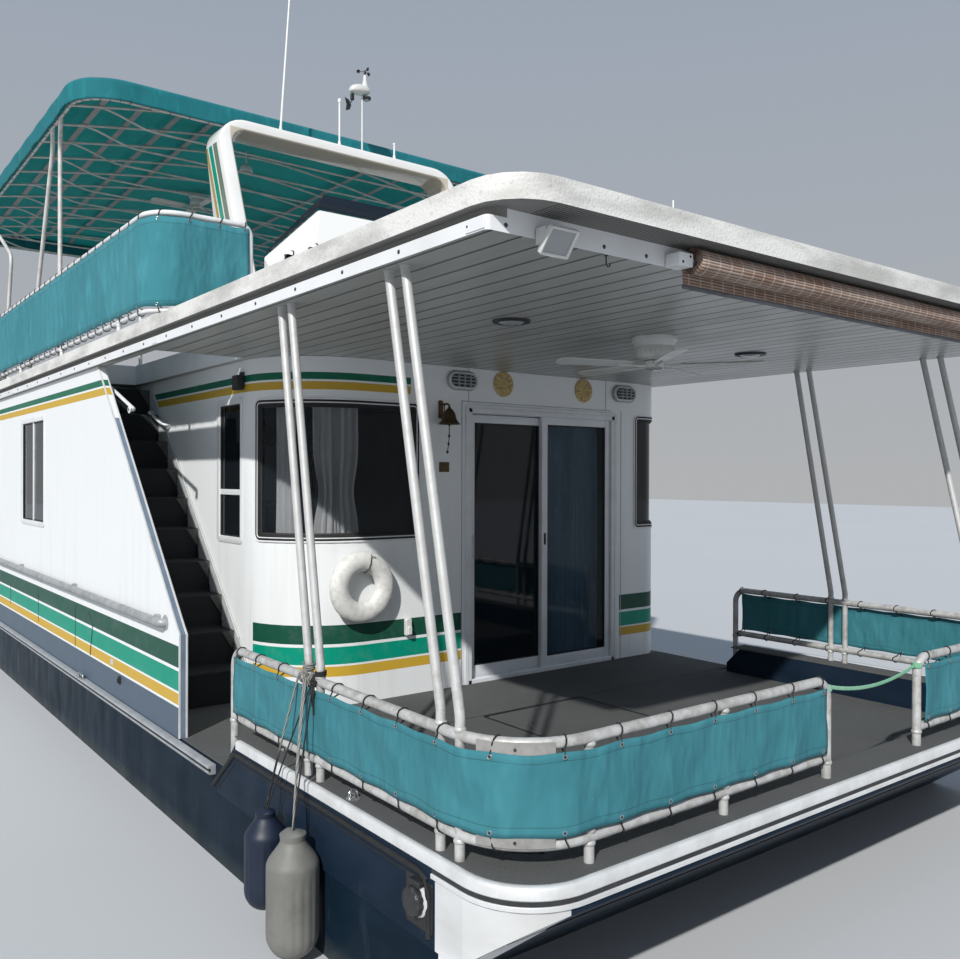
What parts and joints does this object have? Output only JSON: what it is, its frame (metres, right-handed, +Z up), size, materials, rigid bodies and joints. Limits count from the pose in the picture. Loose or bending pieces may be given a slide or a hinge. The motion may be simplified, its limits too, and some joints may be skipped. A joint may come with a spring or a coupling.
{
  "type": "houseboat",
  "caption": "Widebody houseboat with a full-beam cabin, railed bow porch, side stair, upper deck, radar arch and framed fabric canopy.",
  "frame": {"origin": "on the hull's flat bottom, on the centre line near mid-length", "axes": "+X to port, +Y aft, +Z up; the bow points to -Y"},
  "size_m": [4.539, 16.0503, 7.8106],
  "materials": {
    "hull_navy": "dark navy paint",
    "bulwark_blue": "blue-grey paint with a white cap",
    "rub_metal": "dull extrusion",
    "deck_carpet": "dark marine carpet",
    "platform_metal": "dull plate",
    "cabin_white": "white paint with coloured stripes",
    "roof_cream": "textured off-white",
    "window_glass": "dark panes in white frames",
    "door_metal": "white frames with clear panes",
    "rail_steel": "polished tube",
    "rail_white": "white tube",
    "panel_teal": "laced teal fabric",
    "strap_green": "soft green strap",
    "fan_white": "white",
    "ring_white": "white with coloured bands",
    "bell_brass": "aged brass",
    "lamp_grey": "dark grey",
    "shade_woven": "tan and brown weave",
    "fender_grey": "grey",
    "fender_navy": "navy",
    "pipe_grey": "grey tube",
    "arch_white": "white moulding",
    "screen_smoke": "smoked sheet",
    "wheel_black": "black",
    "cups_black": "black",
    "canopy_metal": "bright tube",
    "canopy_teal": "bright teal fabric",
    "drive_dark": "dark paint",
    "prop_steel": "bare metal"
  },
  "bodies": {
    "boat": {"hull": "hull_navy", "bow_bulwark": "bulwark_blue", "rub_rail": "rub_metal", "swim_platform": "platform_metal", "cabin_walls": "cabin_white", "roof": "roof_cream", "stairs": "deck_carpet", "window_front": "window_glass", "window_port_corner": "window_glass", "window_stair": "window_glass", "window_stbd_3280": "window_glass", "window_port_1900": "window_glass", "window_stbd_5300": "window_glass", "window_port_5300": "window_glass", "window_stbd_7600": "window_glass", "window_port_7600": "window_glass", "front_door_frame": "door_metal", "rear_door_frame": "door_metal", "bow_rail_stbd": "rail_steel", "bow_rail_port": "rail_steel", "bow_panel_stbd": "panel_teal", "bow_panel_port": "panel_teal", "gate_strap": "strap_green", "porch_fan_motor": "fan_white", "life_ring": "ring_white", "bell": "bell_brass", "floodlight": "lamp_grey", "shade_roll": "shade_woven", "fender_grey": "fender_grey", "fender_navy": "fender_navy", "side_pipe_stbd": "pipe_grey", "side_pipe_port": "pipe_grey", "upper_rail": "rail_white", "upper_panel": "panel_teal", "radar_arch": "arch_white", "weather_station": "arch_white", "helm_cowl": "arch_white", "helm_screen": "screen_smoke", "canopy_frame": "canopy_metal", "canopy_top": "canopy_teal", "canopy_fan_motor": "fan_white", "aft_rail_stbd": "rail_steel", "aft_rail_port": "rail_steel", "aft_panel_stbd": "panel_teal", "aft_panel_port": "panel_teal"},
    "front_door": {"front_door_leaf": "door_metal"},
    "rear_door": {"rear_door_leaf": "door_metal"},
    "hatch": {"deck_hatch": "deck_carpet"},
    "porch_fan": {"porch_fan_blades": "fan_white"},
    "canopy_fan": {"canopy_fan_blades": "fan_white"},
    "cups": {"wind_cups": "cups_black"},
    "wheel": {"helm_wheel": "wheel_black"},
    "swivel": {"drive_swivel": "drive_dark"},
    "leg": {"drive_leg": "drive_dark"},
    "screw": {"propeller": "prop_steel"}
  },
  "joints": [
    {"name": "front_door_slide", "type": "slide", "parent": "boat", "child": "front_door", "axis": [1, 0, 0], "range_m": [0, 0.64]},
    {"name": "rear_door_slide", "type": "slide", "parent": "boat", "child": "rear_door", "axis": [1, 0, 0], "range_m": [0, 0.64]},
    {"name": "hatch_hinge", "type": "hinge", "parent": "boat", "child": "hatch", "pos_m": [0, -6.3025, 1], "axis": [1, 0, 0], "range_deg": [0, 80]},
    {"name": "porch_fan_spin", "type": "hinge", "parent": "boat", "child": "porch_fan", "pos_m": [0, -6.6, 3.18], "axis": [0, 0, 1], "continuous": true},
    {"name": "canopy_fan_spin", "type": "hinge", "parent": "boat", "child": "canopy_fan", "pos_m": [-0.17, 0.105, 5.58], "axis": [0, 0, 1], "continuous": true},
    {"name": "cups_spin", "type": "hinge", "parent": "boat", "child": "cups", "pos_m": [0.198, -3.02, 6.135], "axis": [0, 0, 1], "continuous": true},
    {"name": "drive_steer", "type": "hinge", "parent": "boat", "child": "swivel", "pos_m": [0, 7.395, 0.6], "axis": [0, 0, 1], "range_deg": [-25, 25]},
    {"name": "wheel_turn", "type": "hinge", "parent": "boat", "child": "wheel", "pos_m": [-0.42, -3.51, 4.29], "axis": [0, 1, 0], "range_deg": [-540, 540]},
    {"name": "drive_tilt", "type": "hinge", "parent": "swivel", "child": "leg", "pos_m": [0, 7.46, 0.6], "axis": [1, 0, 0], "range_deg": [-45, 10]},
    {"name": "propeller_spin", "type": "hinge", "parent": "leg", "child": "screw", "pos_m": [0, 7.97477, 0.59859], "axis": [0, 0.7071, 0.7071], "continuous": true}
  ],
  "couplings": [
    {"joint": "wheel_turn", "follows": "drive_steer", "ratio": -21.6}
  ]
}
